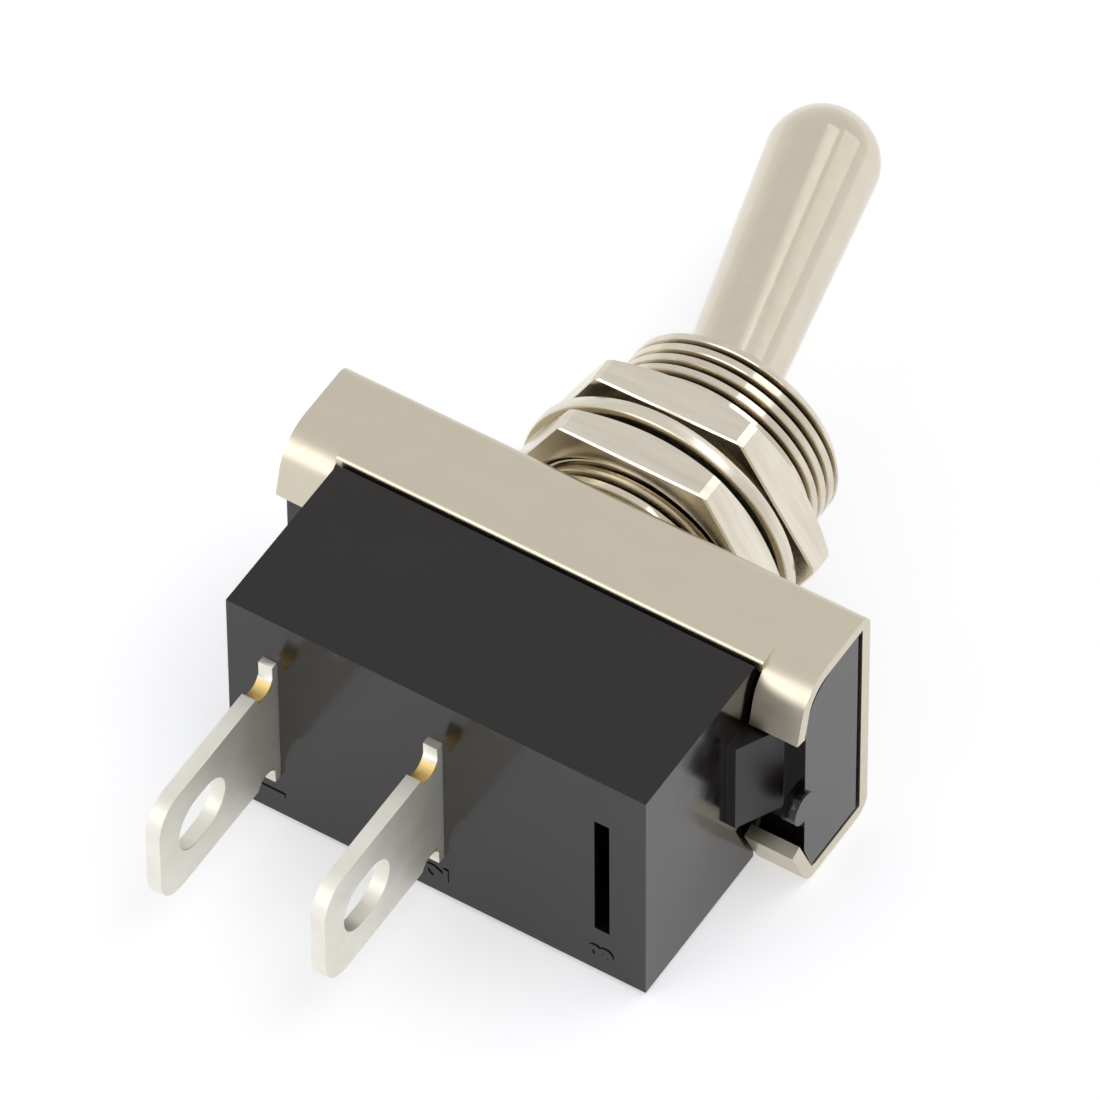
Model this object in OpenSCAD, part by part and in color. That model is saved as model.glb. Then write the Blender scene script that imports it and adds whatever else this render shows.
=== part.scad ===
// Panel toggle switch, single pole, two solder lugs, M12 x 0.75 bushing.
// Millimetres. +Z runs out of the threaded bushing towards the lever, and
// X runs along the row of lugs. The origin is on the bushing's axis, at the
// outer face of the steel frame.

/* [Frame] */
// Length of the frame along the row of lugs
frame_length = 29.4; // [26:0.2:34]
// Depth of the frame over both flanges
frame_depth = 14.85; // [13:0.05:16]
// Thickness of the sheet steel
sheet = 0.7; // [0.5:0.05:1]
// Height of the side flanges, measured from the outer face
flange_height = 5.4; // [4:0.05:6]
// Radius rolled on the flanges' lower outer edge by blanking
edge_roll = 0.3; // [0:0.05:0.5]
// Outer radius of the fold between top and flange
fold_radius = 0.9; // [0.7:0.05:1.5]
// Width of each clamping tab
tab_width = 2.7; // [2:0.1:4]
// Inside bend radius of the rolled tabs, on the -Y flange
rolled_tab_radius = 1.7; // [1:0.1:2]
// How far a rolled tab is bent in from the flange, in degrees
rolled_tab_bend = 76; // [60:1:90]
// Length of a rolled tab's flat end past its bend
rolled_tab_flat = 1.55; // [1:0.05:3]
// Depth below the outer face at which the rolled bend starts
rolled_tab_start = 3.9; // [3:0.05:4.5]
// Inside bend radius of the creased tabs, on the +Y flange
creased_tab_radius = 0.35; // [0.2:0.05:1]
// How far a creased tab is bent in from the flange, in degrees
creased_tab_bend = 67; // [60:1:90]
// Length of a creased tab's flat end past its bend
creased_tab_flat = 2.85; // [1:0.05:4]
// Depth below the outer face at which the crease starts
creased_tab_start = 4.85; // [4:0.05:5]

/* [Moulded housing] */
// Length of the lower block
block_length = 23.5; // [20:0.1:26]
// Depth of the lower block
block_depth = 14.5; // [12:0.1:16]
// Distance from the frame's outer face to the block's bottom
block_bottom = 15.45; // [13:0.05:18]
// Distance from the frame's outer face to the shoulders below the flanges
shoulder_depth = 5.65; // [5:0.05:6]
// Depth of the head that sits between the flanges
head_depth = 13.15; // [11:0.05:14]
// Distance from the frame's outer face to the head's underside
head_bottom = 5.75; // [4.5:0.05:6]
// Radius of the head's lower edges under the rolled tabs
head_corner = 2.4; // [1:0.1:3]
// Width of the sloping gusset between two clamping tabs
gusset_width = 6; // [5:0.1:8]
// Distance from the frame's outer face to the gusset's foot
gusset_bottom = 8.1; // [6:0.1:9]
// How far the gusset reaches along the head's underside
gusset_reach = 1.7; // [1:0.1:2.5]
// Shift of the gusset towards the rolled tabs
gusset_shift = 0.85; // [0:0.05:1]
// Wall at the ends of the chamber
end_wall = 1.5; // [1:0.1:2.5]
// Wall at the long sides of the chamber
side_wall = 1.8; // [1:0.1:2.5]
// Thickness of the floor that the lugs pass through
floor_thickness = 2.2; // [1.5:0.1:3]

/* [Threaded bushing] */
// Crest diameter of the bushing's thread
thread_diameter = 12; // [10:0.5:14]
// Height of the bushing above the frame
bushing_height = 12; // [9:0.5:15]
// Diameter of the neck staked in the frame's hole
neck_diameter = 10; // [9:0.1:11]
// Diameter of the free bore below the ball seat
bore_diameter = 7.8; // [7:0.1:8.4]
// Height of the lever's pivot above the frame
pivot_height = 6.5; // [5:0.1:8]

/* [Lever] */
// Lean of the lever to either side of the bushing's axis, in degrees
lever_lean = 13.5; // [10:0.5:16]
// Distance from the pivot to the centre of the round tip
lever_reach = 22.4; // [18:0.1:28]
// Diameter of the bat handle at its tip
tip_diameter = 5.9; // [5:0.1:7]
// Diameter the handle tapers down to at the pivot
root_diameter = 4.4; // [3.5:0.1:5]
// Diameter of the pivot ball
ball_diameter = 6.6; // [6:0.1:7]
// Diameter of the stem below the ball
stem_diameter = 4.2; // [3.6:0.1:4.8]
// Length of the stem below the pivot
stem_length = 6.5; // [5:0.1:7]
// Diameter of the cross pin
pin_diameter = 1.6; // [1.2:0.1:2]

/* [Snap action] */
// Diameter of the plunger
plunger_diameter = 2.6; // [2:0.1:3]
// Distance from the lever's pivot to the centre of the plunger's round nose
plunger_reach = 12.39; // [11:0.01:13]
// Depth of the contact arm's fulcrum below the frame's outer face
fulcrum_depth = 8.2; // [7:0.1:9]
// Swing of the contact arm to either side of level, in degrees
arm_swing = 6.75; // [4:0.25:8]
// Dihedral of each half of the contact arm, in degrees
arm_dihedral = 5; // [0:0.5:8]
// Half length of the contact arm
arm_reach = 9; // [8:0.1:9.5]
// Width of the contact arm
arm_width = 4.4; // [3:0.1:5]
// Thickness of the contact arm
arm_thickness = 0.8; // [0.5:0.05:1]
// Distance of the contact tip from the fulcrum
contact_reach = 8; // [7:0.1:8.5]
// Number of coils of the plunger's spring
spring_coils = 5; // [3:1:8]

/* [Solder lugs] */
// Spacing of the three lug places
lug_pitch = 9.3; // [8:0.1:10]
// Thickness of a lug
lug_thickness = 0.8; // [0.6:0.05:1]
// Width of a lug's blade
lug_width = 7; // [6:0.1:8]
// Distance from the frame's outer face to a lug's end
lug_end = 25.85; // [22:0.05:30]
// Width of the eye in a lug
eye_width = 3.2; // [2.5:0.1:4]
// Height of the eye in a lug
eye_height = 4; // [3:0.1:5]
// Length of the slots in the floor
slot_length = 8.2; // [7:0.1:9]

/* [Nuts and washer] */
// Width across the flats of both nuts
nut_flats = 14.3; // [13:0.1:17]
// Thickness of both nuts
nut_thickness = 2.1; // [1.5:0.05:3]
// Height of the back nut's underside above the frame
back_nut_height = 1.95; // [0:0.05:5]
// Height of the front nut's underside above the frame
front_nut_height = 5.6; // [4:0.05:9]
// Outer diameter of the washer
washer_diameter = 15.2; // [14:0.1:18]
// Thickness of the washer
washer_thickness = 0.8; // [0.4:0.05:1]
// Lean of the loose washer, in degrees
washer_lean = 0.8; // [0:0.1:3]

/* [Hidden] */
$fn = 96;
eps = 0.01;
half_length = frame_length / 2;
half_depth = frame_depth / 2;
flange_inside = half_depth - sheet;
tab_start = half_length - tab_width;
insulator_thickness = 0.3;
head_top = -sheet - insulator_thickness;
head_length = frame_length - 0.1;
head_chamfer = [1.8, 0.65];
gusset_land = 0.45;
gate_radius = 0.9;
chamber_length = block_length - 2 * end_wall;
chamber_depth = block_depth - 2 * side_wall;
chamber_floor = -block_bottom + floor_thickness;
staking_radius = neck_diameter / 2 + 0.5;
seat_radius = ball_diameter / 2 + 0.1;
throat_radius = 2.95;
mouth_radius = 4.15;
spring_gap = 0.05;
spring_bore = 1.4;
spring_top = pin_diameter / 2 + 0.65;
plunger_top = 4.7;
wire = 0.3;
coil_radius = 1.05;
fulcrum = -fulcrum_depth;
fulcrum_radius = lug_thickness / 2;
arm_underside = 0.1;
tip_height = 0.6;
fixed_contact_top = -9.02;
shelf_top = fixed_contact_top - 0.6;
ear_half = slot_length / 2 + 0.25;
ear_height = 0.45;
lug_notch = 0.75;
nut_bore = thread_diameter / 2 + 0.05;

// Extrudes a profile drawn in (Y, Z) along X, centred on the middle plane.
module along_x(length) {
  rotate([90, 0, 90]) linear_extrude(height = length, center = true) children();
}

// Extrudes a profile drawn in (X, Z) along Y, centred on the middle plane.
module along_y(length) {
  rotate([90, 0, 0]) linear_extrude(height = length, center = true) children();
}

// Copies its children to both sides of the plane whose normal is given.
module both(normal) {
  children();
  mirror(normal) children();
}

// ---------------------------------------------------------------- frame

// Section of the channel: top and two side flanges with rounded folds and
// rolled lower edges.
module channel_section() {
  difference() {
    union() {
      translate([-half_depth, -flange_height + edge_roll])
        square([frame_depth, flange_height - edge_roll - fold_radius]);
      translate([-half_depth + edge_roll, -flange_height])
        square([frame_depth - 2 * edge_roll, edge_roll]);
      both([1, 0]) translate([half_depth - edge_roll, -flange_height + edge_roll])
        circle(r = edge_roll, $fn = 32);
      translate([-half_depth + fold_radius, -fold_radius])
        square([frame_depth - 2 * fold_radius, fold_radius]);
      both([1, 0]) translate([half_depth - fold_radius, -fold_radius])
        circle(r = fold_radius);
    }
    translate([-flange_inside, -flange_height - 1])
      square([2 * flange_inside, flange_height + 1 - sheet]);
  }
}

// Section of one clamping tab on the +Y side: the flange's last stretch, the
// bend and the flat end past it.
module tab_section(start, radius, bend, flat) {
  translate([flange_inside, -start]) square([sheet, start - rolled_tab_start + eps]);
  translate([flange_inside - radius, -start]) {
    intersection() {
      difference() {
        circle(r = radius + sheet);
        circle(r = radius);
      }
      polygon([[0, 0], [4, 0], [4, -4], [4 * cos(bend), -4 * sin(bend)]]);
    }
    rotate(-bend)
      translate([radius, -flat])
        square([sheet, flat + eps]);
  }
}

module frame() {
  color([0.76, 0.73, 0.66]) union() {
    difference() {
      along_x(frame_length) channel_section();
      // the neck's hole
      translate([0, 0, -sheet - 1])
        cylinder(h = sheet + 2, d = neck_diameter);
      // the flanges give way to the tabs at all four corners
      both([1, 0, 0]) translate([tab_start, -half_depth - 1, -flange_height - 1])
        cube([tab_width + 1, frame_depth + 2, 1 + flange_height - rolled_tab_start]);
    }
    both([1, 0, 0]) translate([tab_start + tab_width / 2, 0, 0]) {
      mirror([0, 1, 0]) along_x(tab_width)
        tab_section(rolled_tab_start, rolled_tab_radius, rolled_tab_bend, rolled_tab_flat);
      along_x(tab_width)
        tab_section(creased_tab_start, creased_tab_radius, creased_tab_bend, creased_tab_flat);
    }
  }
}

// -------------------------------------------------------------- housing

// Section of the head, rounded below to suit the rolled tabs and chamfered
// to suit the creased ones.
module head_section() {
  y = head_depth / 2;
  difference() {
    translate([-y, -head_bottom]) square([head_depth, head_bottom + head_top]);
    translate([-y, -head_bottom]) difference() {
      translate([-1, -1]) square(head_corner + 1);
      translate([head_corner, head_corner]) circle(r = head_corner);
    }
    translate([y, -head_bottom]) polygon([
      [-head_chamfer[0], 0], [0, head_chamfer[1]], [1, head_chamfer[1]],
      [1, -1], [-head_chamfer[0], -1]
    ]);
  }
}

// Profile of the gusset under the head's end, in (X, Z).
module gusset_section() {
  x = block_length / 2;
  polygon([
    [x - 1, -head_bottom + eps], [x - 1, -gusset_bottom],
    [x + gusset_land, -gusset_bottom], [x + gusset_reach, -head_bottom],
    [x + gusset_reach, -head_bottom + eps]
  ]);
}

// One slot through the floor.
module lug_slot() {
  w = lug_thickness + 0.04;
  translate([-w / 2, -slot_length / 2, -block_bottom - 1])
    cube([w, slot_length, floor_thickness + 2]);
}

module housing() {
  color([0.16, 0.15, 0.15]) union() {
    difference() {
      union() {
        along_x(head_length) head_section();
        translate([-block_length / 2, -head_depth / 2, -shoulder_depth - eps])
          cube([block_length, head_depth, shoulder_depth + eps + head_top]);
        translate([-block_length / 2, -block_depth / 2, -block_bottom])
          cube([block_length, block_depth, block_bottom - shoulder_depth]);
        // gussets under the head's ends, between the clamping tabs
        both([1, 0, 0]) translate([0, -gusset_shift, 0])
          along_y(gusset_width) gusset_section();
        // gate stub left on the lower edge of the head's end
        translate([half_length - 0.7, 1.2, -head_bottom - 0.25])
          rotate([0, 90, 0]) cylinder(h = 0.8, r = gate_radius);
      }
      // chamber of the snap action
      translate([-chamber_length / 2, -chamber_depth / 2, chamber_floor])
        cube([chamber_length, chamber_depth, block_bottom]);
      for (i = [-1:1]) translate([i * lug_pitch, 0, 0]) lug_slot();
    }
    // stop that carries the contact arm while the switch is open
    translate([contact_reach - 0.6, -2.5, chamber_floor - eps])
      cube([1.2, 5, -8.4 - chamber_floor + eps]);
  }
}

module insulator() {
  color([0.45, 0.25, 0.16]) translate([0, 0, head_top]) difference() {
    translate([-14, -6.3, 0]) cube([28, 12.6, insulator_thickness]);
    translate([0, 0, -1]) cylinder(h = 2, r = staking_radius + 0.2);
  }
}

// -------------------------------------------------------------- bushing

module bushing() {
  chamfer = 0.45;
  color([0.83, 0.8, 0.73]) difference() {
    union() {
      cylinder(h = bushing_height - chamfer, d = thread_diameter);
      translate([0, 0, bushing_height - chamfer])
        cylinder(h = chamfer, r1 = thread_diameter / 2, r2 = thread_diameter / 2 - chamfer);
      // neck through the frame, and its staked rim
      translate([0, 0, -sheet - 0.25]) cylinder(h = sheet + 0.25 + eps, d = neck_diameter);
      translate([0, 0, -sheet - 0.25]) cylinder(h = 0.25, r = staking_radius);
    }
    // free bore, ball seat and flared mouth
    translate([0, 0, -2]) cylinder(h = 7.2, d = bore_diameter);
    translate([0, 0, pivot_height]) sphere(r = seat_radius);
    translate([0, 0, 3]) cylinder(h = pivot_height - 3, r = seat_radius);
    translate([0, 0, pivot_height + 1.4])
      cylinder(h = 0.4, r = throat_radius);
    translate([0, 0, pivot_height + 1.75])
      cylinder(h = bushing_height - pivot_height - 1.75 + eps, r1 = throat_radius, r2 = mouth_radius);
    // holes for the cross pin
    translate([0, 0, pivot_height]) rotate([90, 0, 0])
      cylinder(h = 20, d = pin_diameter, center = true);
  }
}

// ---------------------------------------------------------------- lever

// Places its children in the lever's own frame, pivot at the origin.
module on_lever() {
  translate([0, 0, pivot_height]) rotate([0, -lever_lean, 0]) children();
}

module lever() {
  color([0.79, 0.75, 0.68]) on_lever() difference() {
    union() {
      cylinder(h = lever_reach, d1 = root_diameter, d2 = tip_diameter);
      translate([0, 0, lever_reach]) sphere(d = tip_diameter);
      sphere(d = ball_diameter);
      translate([0, 0, -stem_length]) cylinder(h = stem_length, d = stem_diameter);
    }
    // spring bore, open below
    translate([0, 0, -stem_length - 1])
      cylinder(h = stem_length + 1 - spring_top, r = spring_bore);
    // cross hole, running clearance on the pin
    rotate([90, 0, 0]) cylinder(h = 10, d = pin_diameter + 0.12, center = true);
  }
}

module lever_pin() {
  color([0.7, 0.7, 0.7]) translate([0, 0, pivot_height]) rotate([90, 0, 0])
    cylinder(h = 10.6, d = pin_diameter, center = true);
}

module plunger() {
  color([0.9, 0.88, 0.82]) on_lever() union() {
    translate([0, 0, -plunger_reach])
      cylinder(h = plunger_reach - plunger_top, d = plunger_diameter);
    translate([0, 0, -plunger_reach]) sphere(d = plunger_diameter);
  }
}

// One half turn of wire, rising by rise from +X round to -X.
module half_turn(rise) {
  lean = atan(rise / (2 * coil_radius));
  translate([0, 0, rise / 2]) rotate([0, lean, 0])
    rotate_extrude(angle = 180) translate([coil_radius / cos(lean), 0])
      circle(d = wire, $fn = 24);
}

module plunger_spring() {
  from = -plunger_top + spring_gap + wire / 2;
  to = -spring_top - spring_gap - wire / 2;
  rise = (to - from) / (2 * spring_coils);
  color([0.72, 0.72, 0.7]) on_lever() union() {
    for (i = [0:2 * spring_coils - 1])
      translate([0, 0, from + i * rise]) rotate([0, 0, 180 * i]) half_turn(rise);
  }
}

// ---------------------------------------------------------- snap action

// Places its children in the contact arm's own frame, fulcrum at the origin.
module on_arm() {
  translate([0, 0, fulcrum]) rotate([0, arm_swing, 0]) children();
}

module contact_arm() {
  climb = arm_reach * tan(arm_dihedral);
  low = arm_underside;
  high = arm_underside + arm_thickness;
  color([0.8, 0.6, 0.32]) on_arm() difference() {
    along_y(arm_width) polygon([
      [-arm_reach, low + climb], [0, low], [arm_reach, low + climb],
      [arm_reach, high + climb], [0, high], [-arm_reach, high + climb]
    ]);
    rotate([90, 0, 0])
      cylinder(h = arm_width + 2, r = fulcrum_radius + 0.1, center = true);
  }
}

module moving_contact() {
  color([0.85, 0.85, 0.83]) on_arm()
    translate([-contact_reach, 0, arm_underside + contact_reach * tan(arm_dihedral)])
      rotate([0, arm_dihedral, 0]) translate([0, 0, -tip_height])
        cylinder(h = tip_height, r = 1.2);
}

module fixed_contact() {
  color([0.85, 0.85, 0.83]) translate([-contact_reach, 0, shelf_top])
    cylinder(h = fixed_contact_top - shelf_top, r = 1.3);
}

// ---------------------------------------------------------- solder lugs

// Outline of a lug's blade below the floor and its root in the slot.
module blade_outline() {
  w = lug_width / 2;
  corner = 1.8;
  difference() {
    union() {
      // root in the slot, shoulder on the floor, swaged ears below it
      translate([-slot_length / 2 + 0.05, -block_bottom - ear_height])
        square([slot_length - 0.1, block_bottom + ear_height + chamber_floor + 1]);
      translate([-ear_half - 0.2, chamber_floor])
        square([2 * ear_half + 0.4, 1.2]);
      translate([-ear_half, -block_bottom - ear_height])
        square([2 * ear_half, ear_height]);
      // blade with rounded corners
      translate([-w, -lug_end + corner])
        square([2 * w, lug_end - corner - block_bottom]);
      translate([-w + corner, -lug_end]) square([2 * w - 2 * corner, corner + 1]);
      both([1, 0]) translate([w - corner, -lug_end + corner]) circle(r = corner);
    }
    // half-round notches between the ears and the blade
    both([1, 0])
      translate([w + 0.25, -block_bottom - ear_height - lug_notch])
        circle(r = lug_notch);
    // eye for the wire
    translate([0, -22.2]) {
      both([0, 1]) translate([0, (eye_height - eye_width) / 2])
        circle(d = eye_width);
      square([eye_width, eye_height - eye_width], center = true);
    }
  }
}

module common_lug() {
  color([0.82, 0.82, 0.78]) union() {
    along_x(lug_thickness) difference() {
      union() {
        blade_outline();
        // post that carries the contact arm between two guide ears
        translate([-3.2, chamber_floor]) square([6.4, -7 - chamber_floor]);
      }
      translate([-2.35, fulcrum]) square([4.7, 4]);
    }
    // rounded fulcrum edge
    translate([0, 0, fulcrum]) rotate([90, 0, 0])
      cylinder(h = 4.7, r = fulcrum_radius, center = true);
  }
}

module switched_lug() {
  x = -lug_pitch;
  t = lug_thickness;
  color([0.82, 0.82, 0.78]) union() {
    translate([x, 0, 0]) along_x(t) union() {
      blade_outline();
      translate([-2.6, chamber_floor]) square([5.2, shelf_top - t - chamber_floor]);
    }
    // shelf folded over towards the contact arm
    along_y(5.2) union() {
      translate([x + t / 2, shelf_top - t]) square([3.2, t]);
      intersection() {
        translate([x + t / 2, shelf_top - t]) circle(r = t);
        translate([x - t / 2, shelf_top - t]) square([t, t]);
      }
    }
  }
}

// ------------------------------------------------------ nuts and washer

// Hexagon nut with its upper corners turned off at 30 degrees.
module hexagon_nut(turn) {
  corner = nut_flats / sqrt(3);
  edge = nut_flats / 2 - 0.15;
  drop = (corner + 1 - edge) * tan(30);
  rotate([0, 0, turn]) difference() {
    intersection() {
      cylinder(h = nut_thickness, r = corner, $fn = 6);
      union() {
        translate([0, 0, nut_thickness - drop])
          cylinder(h = drop, r1 = corner + 1, r2 = edge);
        translate([0, 0, -1]) cylinder(h = nut_thickness - drop + 1 + eps, r = corner + 1);
      }
    }
    translate([0, 0, -1]) cylinder(h = nut_thickness + 2, r = nut_bore);
    // countersinks at both faces
    translate([0, 0, -eps]) cylinder(h = 0.3, r1 = nut_bore + 0.3, r2 = nut_bore);
    translate([0, 0, nut_thickness - 0.3 + eps])
      cylinder(h = 0.3, r1 = nut_bore, r2 = nut_bore + 0.3);
  }
}

module back_nut() {
  color([0.82, 0.79, 0.72]) translate([0, 0, back_nut_height]) hexagon_nut(0);
}

module front_nut() {
  color([0.84, 0.81, 0.74]) translate([0, 0, front_nut_height]) hexagon_nut(-1.4);
}

module washer() {
  low = back_nut_height + nut_thickness + washer_diameter / 2 * sin(washer_lean) + 0.03;
  color([0.8, 0.78, 0.72]) translate([0, 0, low])
    rotate([0, 0, -80]) rotate([0, -washer_lean, 0]) difference() {
      cylinder(h = washer_thickness, d = washer_diameter);
      translate([0, 0, -1]) cylinder(h = washer_thickness + 2, r = thread_diameter / 2 + 0.15);
    }
}

frame();
housing();
insulator();
bushing();
lever();
lever_pin();
plunger();
plunger_spring();
contact_arm();
moving_contact();
fixed_contact();
common_lug();
switched_lug();
back_nut();
front_nut();
washer();
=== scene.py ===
"""Looks of a panel toggle switch: threaded bushing, bat lever, folded frame, moulded housing."""

import math

import bmesh
import bpy
from mathutils import Matrix, Vector


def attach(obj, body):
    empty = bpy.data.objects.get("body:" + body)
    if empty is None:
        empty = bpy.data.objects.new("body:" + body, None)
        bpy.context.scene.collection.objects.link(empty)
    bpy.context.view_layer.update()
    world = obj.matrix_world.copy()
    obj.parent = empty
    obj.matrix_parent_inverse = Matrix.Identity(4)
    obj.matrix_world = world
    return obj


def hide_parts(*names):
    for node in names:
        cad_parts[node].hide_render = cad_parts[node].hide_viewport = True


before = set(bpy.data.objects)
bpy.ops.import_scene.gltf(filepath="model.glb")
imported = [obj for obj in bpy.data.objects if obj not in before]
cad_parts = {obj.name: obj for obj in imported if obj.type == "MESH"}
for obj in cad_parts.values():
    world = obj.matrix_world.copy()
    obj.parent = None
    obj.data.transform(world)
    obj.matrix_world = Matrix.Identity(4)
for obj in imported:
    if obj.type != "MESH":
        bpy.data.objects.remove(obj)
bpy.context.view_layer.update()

MM = 0.001
LEVER_LEAN = math.radians(13.5)
PIVOT_HEIGHT = 6.5
BUSHING_TOP = 12.0
NECK_RADIUS = 5.0
SEAT_RADIUS = 3.4
THROAT_RADIUS = 2.95
THREAD_PITCH = 0.75
THREAD_ROOT = 5.5
THREAD_CREST = 5.985
THREAD_START = 0.4
CHAMFER_START = 11.55
LUG_PITCH = 9.3
BLOCK_BOTTOM = -15.45
NUMBER_Y = 5.75
NUMBER_HEIGHT = 1.9
BACK_NUT_UNDERSIDE = 1.95
FRONT_NUT_UNDERSIDE = 5.6
FRONT_NUT_TURN = -1.4
NUT_HALF_FLATS = 7.15
NUT_CORNER = NUT_HALF_FLATS / math.cos(math.radians(30))
CORNER_KNOCK = 0.13
NUT_EDGE_BREAK = 0.09
TABLE_Y = 7.63


# ------------------------------------------------------------ modelling helpers


def finish_piece(name, mesh_builder, body, material, replaced=(), smooth_angle=30.0):
    """Turns a finished bmesh into a piece that rides on its CAD body."""
    mesh = bpy.data.meshes.new(name)
    mesh_builder.to_mesh(mesh)
    mesh_builder.free()
    mesh.shade_smooth()
    mesh.set_sharp_from_angle(angle=math.radians(smooth_angle))
    piece = bpy.data.objects.new(name, mesh)
    bpy.context.scene.collection.objects.link(piece)
    mesh.materials.append(material)
    even_normals = piece.modifiers.new("even normals", "WEIGHTED_NORMAL")
    even_normals.keep_sharp = True
    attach(piece, body)
    if replaced:
        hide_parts(*replaced)
    return piece


def copy_of_node(node):
    """The CAD solid as one closed mesh whose flat sides are single faces."""
    solid = bmesh.new()
    solid.from_mesh(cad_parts[node].data)
    bmesh.ops.remove_doubles(solid, verts=solid.verts, dist=0.0005 * MM)
    bmesh.ops.dissolve_degenerate(solid, edges=solid.edges, dist=0.0005 * MM)
    bmesh.ops.dissolve_limit(
        solid,
        angle_limit=math.radians(0.6),
        verts=solid.verts,
        edges=solid.edges,
    )
    bmesh.ops.recalc_face_normals(solid, faces=solid.faces)
    return solid


def soften_edges(solid, width, segments=2):
    """Rounds each edge that turns by more than 28 degrees."""
    limit = math.radians(28.0)
    sharp = []
    for edge in solid.edges:
        if len(edge.link_faces) == 2 and edge.calc_face_angle(0.0) >= limit:
            sharp.append(edge)
    bmesh.ops.bevel(
        solid,
        geom=sharp,
        offset=width * MM,
        offset_type="OFFSET",
        affect="EDGES",
        segments=segments,
        profile=0.5,
        material=-1,
        clamp_overlap=True,
    )


def turned(profile, steps=128):
    """A turned part: the profile of (radius, height) points spun round the Z axis."""
    part = bmesh.new()
    ring = [part.verts.new((r * MM, 0.0, z * MM)) for r, z in profile]
    edges = [part.edges.new(pair) for pair in zip(ring, ring[1:])]
    if profile[0][0] > 0 and profile[-1][0] > 0:
        edges.append(part.edges.new((ring[-1], ring[0])))
    bmesh.ops.spin(
        part,
        geom=ring + edges,
        cent=(0, 0, 0),
        axis=(0, 0, 1),
        angle=2 * math.pi,
        steps=steps,
        use_merge=True,
    )
    bmesh.ops.remove_doubles(part, verts=part.verts, dist=0.0005 * MM)
    bmesh.ops.recalc_face_normals(part, faces=part.faces)
    return part


def arc(centre_r, centre_z, radius, start, end, count):
    """Points of an arc in (radius, height), angles in degrees from the outward direction."""
    points = []
    for i in range(count + 1):
        a = math.radians(start + (end - start) * i / count)
        points.append((centre_r + radius * math.cos(a), centre_z + radius * math.sin(a)))
    return points


# ------------------------------------------------------------ material helpers


def new_material(name):
    """A material with its plain shader, and its nodes and links to build on."""
    material = bpy.data.materials.new(name)
    material.use_nodes = True
    return material, material.node_tree.nodes, material.node_tree.links


def noise(nodes, links, scale, detail=3.0, stretch=(1, 1, 1)):
    """Noise in the piece's own coordinates; scale is in waves per millimetre."""
    place = nodes.new("ShaderNodeTexCoord")
    mapping = nodes.new("ShaderNodeMapping")
    texture = nodes.new("ShaderNodeTexNoise")
    mapping.inputs["Scale"].default_value = tuple(s * scale / MM for s in stretch)
    texture.inputs["Scale"].default_value = 1.0
    texture.inputs["Detail"].default_value = detail
    links.new(place.outputs["Object"], mapping.inputs["Vector"])
    links.new(mapping.outputs["Vector"], texture.inputs["Vector"])
    return texture.outputs["Fac"]


def remap(nodes, links, value, low, high, start=0.3, end=0.7):
    """Spreads what lies between start and end over the range from low to high."""
    node = nodes.new("ShaderNodeMapRange")
    node.inputs["From Min"].default_value = start
    node.inputs["From Max"].default_value = end
    node.inputs["To Min"].default_value = low
    node.inputs["To Max"].default_value = high
    links.new(value, node.inputs["Value"])
    return node.outputs["Result"]


def mix_colour(nodes, links, factor, first, second):
    """A colour between two others, as the factor says."""
    node = nodes.new("ShaderNodeMix")
    node.data_type = "RGBA"
    links.new(factor, node.inputs["Factor"])
    for socket, colour in ((node.inputs["A"], first), (node.inputs["B"], second)):
        if isinstance(colour, tuple):
            socket.default_value = (*colour, 1.0)
        else:
            links.new(colour, socket)
    return node.outputs["Result"]


def mix_value(nodes, links, factor, first, second):
    """A value that goes from the first to the plain second one, as the factor says."""
    node = nodes.new("ShaderNodeMix")
    node.data_type = "FLOAT"
    links.new(factor, node.inputs["Factor"])
    links.new(first, node.inputs["A"])
    node.inputs["B"].default_value = second
    return node.outputs["Result"]


def combined(nodes, links, operation, first, second):
    """Two masks joined by a math operation."""
    node = nodes.new("ShaderNodeMath")
    node.operation = operation
    links.new(first, node.inputs[0])
    links.new(second, node.inputs[1])
    return node.outputs[0]


def bump(nodes, links, shader, height, depth):
    """Surface relief of the given depth in millimetres."""
    node = nodes.new("ShaderNodeBump")
    node.inputs["Distance"].default_value = depth * MM
    node.inputs["Strength"].default_value = 1.0
    links.new(height, node.inputs["Height"])
    links.new(node.outputs["Normal"], shader.inputs["Normal"])


def slab_mask(nodes, links, axis, low, high, fade):
    """1 where the piece's own coordinate, without its sign, is from low to high millimetres."""
    place = nodes.new("ShaderNodeTexCoord")
    split = nodes.new("ShaderNodeSeparateXYZ")
    links.new(place.outputs["Object"], split.inputs["Vector"])
    size = nodes.new("ShaderNodeMath")
    size.operation = "ABSOLUTE"
    links.new(split.outputs[axis], size.inputs[0])
    rising = remap(nodes, links, size.outputs[0], 0.0, 1.0, (low - fade) * MM, low * MM)
    falling = remap(nodes, links, size.outputs[0], 1.0, 0.0, high * MM, (high + fade) * MM)
    return combined(nodes, links, "MULTIPLY", rising, falling)


def plated_metal(name, light, dark, rough, relief, stretch=(1, 1, 1)):
    """Plated metal with faint clouds of colour, uneven polish and fine tool marks."""
    material, nodes, links = new_material(name)
    shader = nodes["Principled BSDF"]
    shader.inputs["Metallic"].default_value = 1.0
    clouds = noise(nodes, links, 0.8, 4.0, stretch)
    colour = mix_colour(nodes, links, remap(nodes, links, clouds, 0.0, 1.0), light, dark)
    links.new(colour, shader.inputs["Base Color"])
    polish = noise(nodes, links, 1.6, 4.0, stretch)
    roughness = remap(nodes, links, polish, rough[0], rough[1])
    links.new(roughness, shader.inputs["Roughness"])
    bump(nodes, links, shader, noise(nodes, links, 5.0, 3.0, stretch), relief)
    return material


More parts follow.
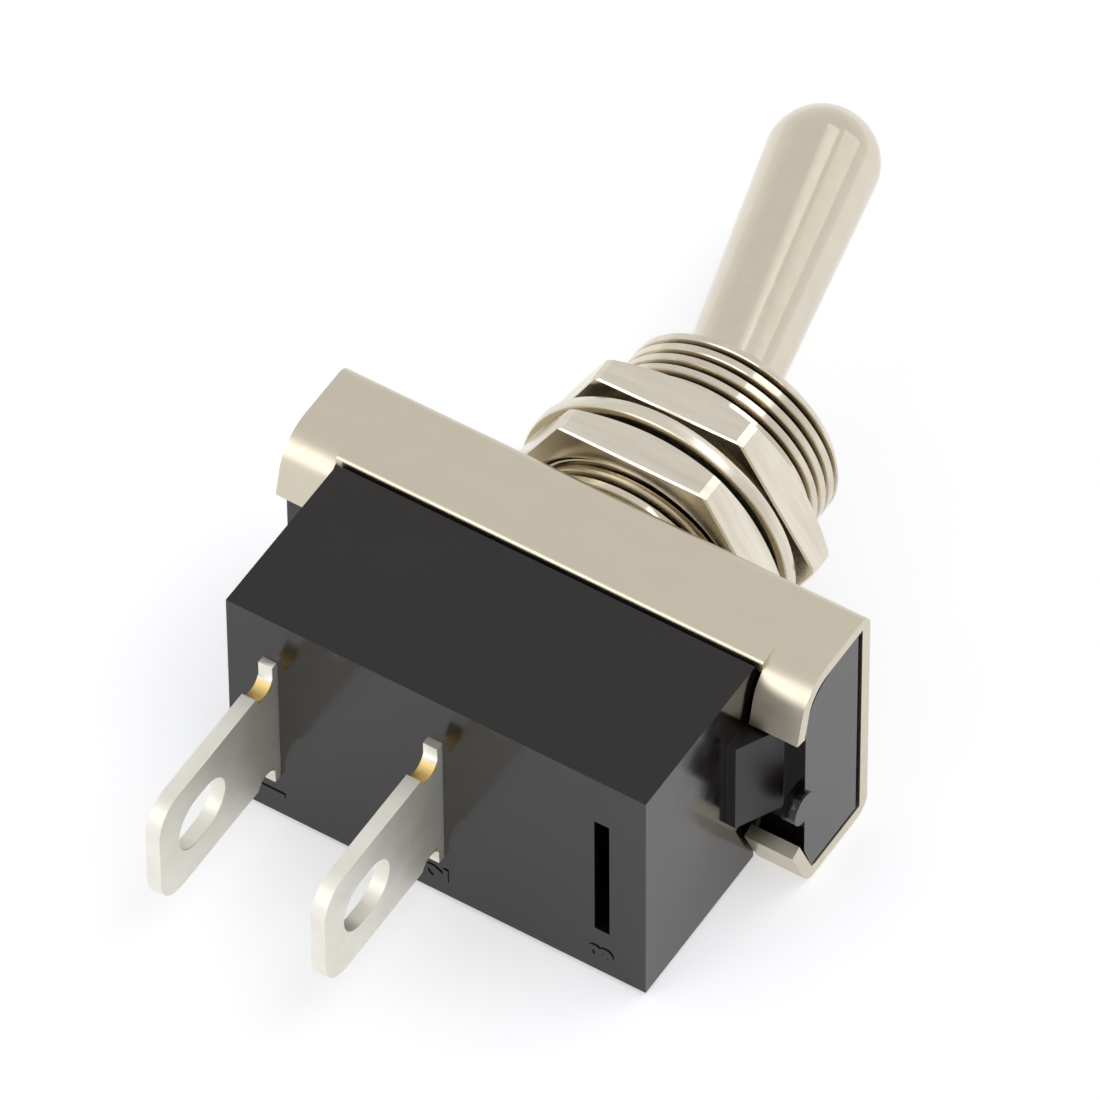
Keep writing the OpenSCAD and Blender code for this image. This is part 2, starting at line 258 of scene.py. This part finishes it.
def threaded_nickel():
    """Bright nickel on the thread, with painted shade, dark and brownish, down in its grooves.
    """
    groove_bottom = THREAD_ROOT + 0.03
    painted_shade_end = 5.84
    material, nodes, links = new_material("nickel thread")
    shader = nodes["Principled BSDF"]
    shader.inputs["Metallic"].default_value = 1.0
    place = nodes.new("ShaderNodeTexCoord")
    flat = nodes.new("ShaderNodeVectorMath")
    flat.operation = "MULTIPLY"
    flat.inputs[1].default_value = (1.0, 1.0, 0.0)
    links.new(place.outputs["Object"], flat.inputs[0])
    radius = nodes.new("ShaderNodeVectorMath")
    radius.operation = "LENGTH"
    links.new(flat.outputs["Vector"], radius.inputs[0])
    # painted shade: the colour runs from near black at the groove bottom out to the bright crest
    # nickel, in place of the shade down in the grooves
    height = remap(
        nodes, links, radius.outputs["Value"], 0.0, 1.0, groove_bottom * MM, painted_shade_end * MM
    )
    clouds = remap(nodes, links, noise(nodes, links, 0.8, 4.0), 0.0, 1.0)
    crest = mix_colour(nodes, links, clouds, (0.72, 0.66, 0.55), (0.62, 0.565, 0.46))
    # the painted groove shade laid under the crest colour
    colour = mix_colour(nodes, links, height, (0.075, 0.055, 0.034), crest)
    links.new(colour, shader.inputs["Base Color"])
    links.new(remap(nodes, links, clouds, 0.10, 0.20), shader.inputs["Roughness"])
    bump(nodes, links, shader, noise(nodes, links, 4.0, 3.0), 0.0006)
    return material


def moulded_phenolic():
    """Black thermoset moulding: glossy, a little cloudy, with faint flow marks."""
    material, nodes, links = new_material("moulded phenolic")
    shader = nodes["Principled BSDF"]
    clouds = noise(nodes, links, 0.25, 5.0)
    tone = remap(nodes, links, clouds, 0.0, 1.0)
    colour = mix_colour(nodes, links, tone, (0.0065, 0.0040, 0.0034), (0.0080, 0.0054, 0.0048))
    links.new(colour, shader.inputs["Base Color"])
    polish = remap(nodes, links, noise(nodes, links, 0.9, 5.0), 0.12, 0.18)
    # the gussets come duller out of the mould than the block
    beside_block = slab_mask(nodes, links, "X", low=11.80, high=14.2, fade=0.03)
    below_head = slab_mask(nodes, links, "Z", low=5.80, high=9.0, fade=0.03)
    on_gusset = combined(nodes, links, "MULTIPLY", beside_block, below_head)
    duller = mix_value(nodes, links, on_gusset, polish, 0.38)
    links.new(duller, shader.inputs["Roughness"])
    shader.inputs["IOR"].default_value = 1.47
    bump(nodes, links, shader, noise(nodes, links, 1.3, 4.0), 0.0006)
    return material


def plain_finish(name, first, second, rough, metallic, scale, relief):
    """A faintly cloudy finish for the small inner pieces."""
    material, nodes, links = new_material(name)
    shader = nodes["Principled BSDF"]
    shader.inputs["Metallic"].default_value = metallic
    tone = remap(nodes, links, noise(nodes, links, scale, 4.0), 0.0, 1.0)
    links.new(mix_colour(nodes, links, tone, first, second), shader.inputs["Base Color"])
    wear = noise(nodes, links, scale * 2, 3.0)
    links.new(remap(nodes, links, wear, rough[0], rough[1]), shader.inputs["Roughness"])
    bump(nodes, links, shader, noise(nodes, links, scale * 4, 3.0), relief)
    return material


def plated_lug():
    """Silver-plated brass, bare in the notches that were cut after plating."""
    material, nodes, links = new_material("plated lug")
    shader = nodes["Principled BSDF"]
    shader.inputs["Metallic"].default_value = 1.0
    clouds = remap(nodes, links, noise(nodes, links, 0.5, 5.0), 0.0, 1.0)
    plating = mix_colour(nodes, links, clouds, (0.87, 0.845, 0.78), (0.80, 0.775, 0.70))
    across = slab_mask(nodes, links, "Y", low=2.95, high=4.0, fade=0.05)
    along = slab_mask(nodes, links, "Z", low=16.10, high=17.10, fade=0.10)
    bare = combined(nodes, links, "MULTIPLY", across, along)
    colour = mix_colour(nodes, links, bare, plating, (0.78, 0.58, 0.24))
    links.new(colour, shader.inputs["Base Color"])
    polish = noise(nodes, links, 1.2, 5.0, (1, 1, 0.4))
    links.new(remap(nodes, links, polish, 0.49, 0.54), shader.inputs["Roughness"])
    bump(nodes, links, shader, noise(nodes, links, 3.0, 4.0), 0.0012)
    return material


# ------------------------------------------------------------ finishes

frame_finish = plated_metal(
    "satin nickel frame",
    light=(0.650, 0.592, 0.474),
    dark=(0.628, 0.571, 0.457),
    rough=(0.31, 0.37),
    relief=0.0010,
    stretch=(0.6, 1, 1),
)
nut_finish = plated_metal(
    "drawn nickel nuts",
    light=(0.80, 0.745, 0.63),
    dark=(0.66, 0.605, 0.505),
    rough=(0.16, 0.30),
    relief=0.0030,
    stretch=(0.18, 0.18, 1.6),
)
bushing_finish = plated_metal(
    "bright nickel bushing",
    light=(0.66, 0.61, 0.51),
    dark=(0.59, 0.54, 0.45),
    rough=(0.12, 0.20),
    relief=0.0003,
)
thread_finish = threaded_nickel()
lever_finish = plated_metal(
    "bright nickel lever",
    light=(0.675, 0.615, 0.505),
    dark=(0.65, 0.592, 0.48),
    rough=(0.09, 0.14),
    relief=0.0003,
)
phenolic_finish = moulded_phenolic()
lug_finish = plated_lug()
fibre_finish = plain_finish(
    "vulcanised fibre", (0.20, 0.09, 0.05), (0.13, 0.06, 0.035), (0.6, 0.8), 0.0, 2.0, 0.01
)
pin_finish = plain_finish(
    "ground pin", (0.62, 0.62, 0.61), (0.52, 0.52, 0.51), (0.2, 0.35), 1.0, 1.5, 0.003
)
nylon_finish = plain_finish(
    "natural nylon", (0.80, 0.77, 0.68), (0.72, 0.69, 0.60), (0.4, 0.55), 0.0, 1.0, 0.003
)
wire_finish = plain_finish(
    "drawn wire", (0.58, 0.57, 0.55), (0.46, 0.45, 0.43), (0.22, 0.36), 1.0, 3.0, 0.003
)
brass_finish = plain_finish(
    "stamped brass", (0.76, 0.54, 0.24), (0.64, 0.43, 0.18), (0.25, 0.4), 1.0, 0.8, 0.004
)
silver_finish = plain_finish(
    "contact silver", (0.86, 0.85, 0.83), (0.74, 0.73, 0.70), (0.2, 0.38), 1.0, 1.5, 0.003
)

for node, finish in (
    ("insulator", fibre_finish),
    ("lever_pin", pin_finish),
    ("plunger", nylon_finish),
    ("plunger_spring", wire_finish),
    ("contact_arm", brass_finish),
    ("moving_contact", silver_finish),
    ("fixed_contact", silver_finish),
):
    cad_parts[node].data.materials.clear()
    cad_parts[node].data.materials.append(finish)


# ------------------------------------------------------------ folded frame


def folded_frame():
    """The sheet steel channel, its cut edges broken as the tumbled part has them."""
    sheet = copy_of_node("frame")
    soften_edges(sheet, 0.09, segments=2)
    return finish_piece("folded_frame", sheet, "body", frame_finish, ["frame"])


# ------------------------------------------------------------ moulded housing


def moulded_housing():
    """The black moulding, with the small radii that a mould leaves."""
    block = copy_of_node("housing")
    soften_edges(block, 0.12, segments=2)
    return finish_piece("moulded_housing", block, "body", phenolic_finish, ["housing"])


def terminal_number(text, x):
    """A raised number beside its lug place, on the block's bottom, its top towards -X."""
    letter = bpy.data.curves.new("number_" + text, "FONT")
    letter.body = text
    letter.size = NUMBER_HEIGHT * MM
    letter.extrude = 0.06 * MM
    letter.offset = 0.05 * MM
    letter.align_x = "CENTER"
    letter.align_y = "CENTER"
    drawn = bpy.data.objects.new("drawn_" + text, letter)
    bpy.context.scene.collection.objects.link(drawn)
    mesh = bpy.data.meshes.new_from_object(drawn)
    bpy.data.objects.remove(drawn)
    face_down = Matrix(((0, -1, 0), (-1, 0, 0), (0, 0, -1))).to_4x4()
    place = Matrix.Translation((x * MM, NUMBER_Y * MM, BLOCK_BOTTOM * MM))
    mesh.transform(place @ face_down)
    raised = bmesh.new()
    raised.from_mesh(mesh)
    bpy.data.meshes.remove(mesh)
    bmesh.ops.remove_doubles(raised, verts=raised.verts, dist=0.0005 * MM)
    bmesh.ops.recalc_face_normals(raised, faces=raised.faces)
    return finish_piece("number_" + text, raised, "body", phenolic_finish)


# ------------------------------------------------------------ threaded bushing


def bushing_core():
    """The turned bushing under its thread: staked foot, ball seat, throat and flared mouth."""
    foot = NECK_RADIUS + 0.5
    foot_bottom = -0.95
    sheet_underside = -0.7
    bore = 3.9
    seat_end = 5.2
    seat_top_angle = 24.3
    throat_bottom = 7.9
    throat_top = 8.25
    mouth = 4.1
    profile = [
        (bore, foot_bottom),
        (foot - 0.08, foot_bottom),
        (foot, foot_bottom + 0.08),
        (foot, sheet_underside),
        (NECK_RADIUS, sheet_underside),
        (NECK_RADIUS, 0.0),
        (THREAD_ROOT, 0.0),
        (THREAD_ROOT, BUSHING_TOP - 0.1),
        (THREAD_ROOT - 0.1, BUSHING_TOP),
        (mouth + 0.12, BUSHING_TOP),
        (mouth, BUSHING_TOP - 0.06),
        (THROAT_RADIUS, throat_top),
        (THROAT_RADIUS, throat_bottom),
        *arc(0.0, PIVOT_HEIGHT, SEAT_RADIUS, seat_top_angle, 0.0, 6),
        (SEAT_RADIUS, seat_end),
        (bore, seat_end),
    ]
    core = turned(profile)
    return finish_piece(
        "bushing_core",
        core,
        "body",
        bushing_finish,
        replaced=["bushing"],
        smooth_angle=25.0,
    )


def bushing_thread():
    """The fine right-hand thread, one ridge wound up the bushing."""
    steps_in_turn = 96
    turns = (BUSHING_TOP - 0.15 - THREAD_START) / THREAD_PITCH
    foot = THREAD_ROOT - 0.04
    shoulder = THREAD_CREST - 0.06
    half_foot = 0.34
    half_shoulder = 0.22
    half_crest = 0.17
    ridge = [
        (foot, -half_foot),
        (shoulder, -half_shoulder),
        (THREAD_CREST, -half_crest),
        (THREAD_CREST, half_crest),
        (shoulder, half_shoulder),
        (foot, half_foot),
    ]
    thread = bmesh.new()
    section = [thread.verts.new((r * MM, 0.0, (THREAD_START + z) * MM)) for r, z in ridge]
    first = thread.faces.new(section)
    steps = int(turns * steps_in_turn)
    bmesh.ops.spin(
        thread,
        geom=list(first.verts) + list(first.edges) + [first],
        cent=(0, 0, 0),
        axis=(0, 0, 1),
        dvec=(0, 0, THREAD_PITCH * MM / steps_in_turn),
        angle=2 * math.pi * steps / steps_in_turn,
        steps=steps,
        use_merge=False,
    )
    # the lead-in chamfer turns the last ridge down
    for vertex in thread.verts:
        height = vertex.co.z / MM
        radius = vertex.co.xy.length / MM
        room = THREAD_CREST - max(0.0, height - CHAMFER_START)
        if radius > room:
            vertex.co.xy *= room / radius
        vertex.co.z = min(vertex.co.z, (BUSHING_TOP - 0.02) * MM)
    bmesh.ops.recalc_face_normals(thread, faces=thread.faces)
    return finish_piece(
        "bushing_thread", thread, "body", thread_finish, smooth_angle=25.0
    )


# ------------------------------------------------------------ lever


def bat_lever():
    """The turned lever: hollow stem, pivot ball, tapered handle and round tip."""
    reach = 22.4
    tip = 2.948
    root = 2.2
    ball = 3.3
    stem = 2.1
    stem_end = -6.5
    bore = 1.4
    bore_top = -1.45
    taper_angle = 1.9
    ball_top = math.degrees(math.acos((root + 0.08) / ball))
    stem_meet = -math.degrees(math.acos(stem / ball))
    profile = [
        (0.0, bore_top),
        (bore, bore_top),
        (bore, stem_end),
        (stem - 0.15, stem_end),
        (stem, stem_end + 0.15),
        *arc(0.0, 0.0, ball, stem_meet, ball_top, 20),
        *arc(0.0, reach, tip, -taper_angle, 90.0, 26),
    ]
    profile[-1] = (0.0, reach + tip)
    lever = turned(profile, 96)
    lean = Matrix.Rotation(-LEVER_LEAN, 4, "Y")
    place = Matrix.Translation((0, 0, PIVOT_HEIGHT * MM)) @ lean
    bmesh.ops.transform(lever, matrix=place, verts=lever.verts)
    return finish_piece("bat_lever", lever, "lever", lever_finish, ["lever"])


# ------------------------------------------------------------ nuts, washer, lugs


def shave(solid, point, normal):
    """Planes off what lies past a point, given in millimetres, and closes the cut."""
    cut = bmesh.ops.bisect_plane(
        solid,
        geom=solid.verts[:] + solid.edges[:] + solid.faces[:],
        dist=0.0001 * MM,
        plane_co=Vector(point) * MM,
        plane_no=Vector(normal).normalized(),
        clear_outer=True,
    )
    rim = [item for item in cut["geom_cut"] if isinstance(item, bmesh.types.BMEdge)]
    bmesh.ops.holes_fill(solid, edges=rim, sides=0)


def hexagon_nut(node, name, underside, turn):
    """A pressed nut, its upright corners knocked and the edges below its flats broken.

    Underside is the height of its lower face and turn its angle in degrees, both as in the CAD.
    """
    nut = copy_of_node(node)
    for side in range(6):
        corner = Vector((1, 0, 0))
        corner.rotate(Matrix.Rotation(math.radians(60 * side + turn), 3, "Z"))
        flat = Vector((1, 0, 0))
        flat.rotate(Matrix.Rotation(math.radians(60 * side + 30 + turn), 3, "Z"))
        shave(nut, corner * (NUT_CORNER - CORNER_KNOCK), corner)
        below = flat * (NUT_HALF_FLATS - NUT_EDGE_BREAK) + Vector((0, 0, underside))
        shave(nut, below, flat + Vector((0, 0, -1)))
    bmesh.ops.recalc_face_normals(nut, faces=nut.faces)
    return finish_piece(
        name, nut, node, nut_finish, replaced=[node], smooth_angle=2.0
    )


def flat_washer():
    """The washer, with its edges rounded over."""
    ring = copy_of_node("washer")
    soften_edges(ring, 0.12, segments=3)
    return finish_piece("flat_washer", ring, "washer", nut_finish, ["washer"])


def solder_lug(node, name):
    """A stamped lug with its cut edges broken."""
    blade = copy_of_node(node)
    soften_edges(blade, 0.09, segments=2)
    bmesh.ops.remove_doubles(blade, verts=blade.verts, dist=0.02 * MM)
    return finish_piece(name, blade, "body", lug_finish, [node])


folded_frame()
moulded_housing()
for text, x in (("1", -LUG_PITCH), ("2", 0.0), ("3", LUG_PITCH)):
    terminal_number(text, x)
bushing_core()
bushing_thread()
bat_lever()
hexagon_nut("back_nut", "back_hexagon_nut", BACK_NUT_UNDERSIDE, 0.0)
hexagon_nut("front_nut", "front_hexagon_nut", FRONT_NUT_UNDERSIDE, FRONT_NUT_TURN)
flat_washer()
solder_lug("common_lug", "middle_lug")
solder_lug("switched_lug", "outer_lug")


# ------------------------------------------------------------ table, lights, camera


def table_paint():
    """Pale paint that glows a little to the eye and in reflections, clear from behind."""
    material, nodes, links = new_material("pale table")
    nodes.clear()
    out = nodes.new("ShaderNodeOutputMaterial")
    paint = nodes.new("ShaderNodeBsdfDiffuse")
    paint.inputs["Color"].default_value = (0.80, 0.80, 0.81, 1.0)
    glow = nodes.new("ShaderNodeEmission")
    glow.inputs["Color"].default_value = (0.975, 0.982, 1.0, 1.0)
    rays = nodes.new("ShaderNodeLightPath")
    to_eye = rays.outputs["Is Camera Ray"]
    in_gloss = rays.outputs["Is Glossy Ray"]
    through = rays.outputs["Is Transmission Ray"]
    seen = combined(nodes, links, "MAXIMUM", to_eye, in_gloss)
    seen = combined(nodes, links, "MAXIMUM", seen, through)
    level = nodes.new("ShaderNodeMath")
    level.operation = "MULTIPLY"
    level.inputs[1].default_value = 0.46
    links.new(seen, level.inputs[0])
    links.new(level.outputs[0], glow.inputs["Strength"])
    both = nodes.new("ShaderNodeAddShader")
    links.new(paint.outputs[0], both.inputs[0])
    links.new(glow.outputs[0], both.inputs[1])
    clear = nodes.new("ShaderNodeBsdfTransparent")
    side = nodes.new("ShaderNodeNewGeometry")
    shown = nodes.new("ShaderNodeMixShader")
    links.new(side.outputs["Backfacing"], shown.inputs[0])
    links.new(both.outputs[0], shown.inputs[1])
    links.new(clear.outputs[0], shown.inputs[2])
    links.new(shown.outputs[0], out.inputs["Surface"])
    return material


def pale_table():
    """The table that the switch lies on, seen only from the switch's side."""
    table = bmesh.new()
    bmesh.ops.create_grid(table, x_segments=1, y_segments=1, size=1.5)
    bmesh.ops.rotate(table, verts=table.verts, matrix=Matrix.Rotation(math.pi / 2, 3, "X"))
    bmesh.ops.translate(table, verts=table.verts, vec=(0, TABLE_Y * MM, 0))
    mesh = bpy.data.meshes.new("table")
    table.to_mesh(mesh)
    table.free()
    piece = bpy.data.objects.new("table", mesh)
    bpy.context.scene.collection.objects.link(piece)
    mesh.materials.append(table_paint())
    return piece


def studio_world():
    """White to the eye, near white in reflections, and a mild fill for everything else."""
    world = bpy.data.worlds.new("studio")
    bpy.context.scene.world = world
    world.use_nodes = True
    nodes, links = world.node_tree.nodes, world.node_tree.links
    nodes.clear()
    out = nodes.new("ShaderNodeOutputWorld")
    fill = nodes.new("ShaderNodeBackground")
    fill.inputs["Color"].default_value = (0.98, 0.99, 1.0, 1.0)
    fill.inputs["Strength"].default_value = 0.55
    reflected = nodes.new("ShaderNodeBackground")
    reflected.inputs["Color"].default_value = (0.97, 0.97, 0.97, 1.0)
    heading = nodes.new("ShaderNodeTexCoord")
    parts = nodes.new("ShaderNodeSeparateXYZ")
    links.new(heading.outputs["Generated"], parts.inputs["Vector"])
    strength = remap(nodes, links, parts.outputs["Y"], 0.86, 0.99, -0.45, 0.0)
    links.new(strength, reflected.inputs["Strength"])
    white = nodes.new("ShaderNodeBackground")
    white.inputs["Color"].default_value = (1.0, 1.0, 1.0, 1.0)
    rays = nodes.new("ShaderNodeLightPath")
    mirror = nodes.new("ShaderNodeMixShader")
    links.new(rays.outputs["Is Glossy Ray"], mirror.inputs[0])
    links.new(fill.outputs[0], mirror.inputs[1])
    links.new(reflected.outputs[0], mirror.inputs[2])
    to_eye = rays.outputs["Is Camera Ray"]
    through = rays.outputs["Is Transmission Ray"]
    final = nodes.new("ShaderNodeMixShader")
    links.new(combined(nodes, links, "MAXIMUM", to_eye, through), final.inputs[0])
    links.new(mirror.outputs[0], final.inputs[1])
    links.new(white.outputs[0], final.inputs[2])
    links.new(final.outputs[0], out.inputs["Surface"])


def softbox(name, place, aim, size, power):
    """A rectangular studio lamp; place and aim are in millimetres."""
    lamp = bpy.data.lights.new(name, "AREA")
    lamp.shape = "RECTANGLE"
    lamp.size, lamp.size_y = size[0] * MM, size[1] * MM
    lamp.energy = power
    light = bpy.data.objects.new(name, lamp)
    bpy.context.scene.collection.objects.link(light)
    where = Vector(place) * MM
    light.location = where
    light.rotation_mode = "QUATERNION"
    light.rotation_quaternion = (Vector(aim) * MM - where).to_track_quat("-Z", "Y")
    return light


def studio_camera():
    """The camera, above the table on the lugs' side, turned so that the lever points up."""
    lens = bpy.data.cameras.new("camera")
    lens.sensor_width = 36.0
    lens.lens = 475.55
    lens.clip_start = 0.05
    lens.clip_end = 10.0
    camera = bpy.data.objects.new("camera", lens)
    bpy.context.scene.collection.objects.link(camera)
    back = Vector((0.33979, -0.77420, -0.53400)).normalized()
    right = Vector((-0.40903, -0.63292, 0.65735)).cross(back).normalized()
    turn = Matrix((right, back.cross(right), back)).transposed().to_4x4()
    place = Matrix.Translation(Vector((234.83, -542.966, -374.236)) * MM)
    camera.matrix_world = place @ turn
    bpy.context.scene.camera = camera


pale_table()
studio_world()
softbox("tall front box", (185, -430, 60), (0, 0, 5), (235, 560), 0.50)
softbox("lever strip", (-10, -400, 335), (0, 0, 15), (175, 70), 0.012)
softbox("high box", (223, -260, 400), (0, 0, 15), (270, 100), 0.019)
softbox("lug side box", (-170, -267, -387), (0, 0, -5), (280, 320), 0.42)
studio_camera()

bpy.context.scene.view_settings.view_transform = "Standard"
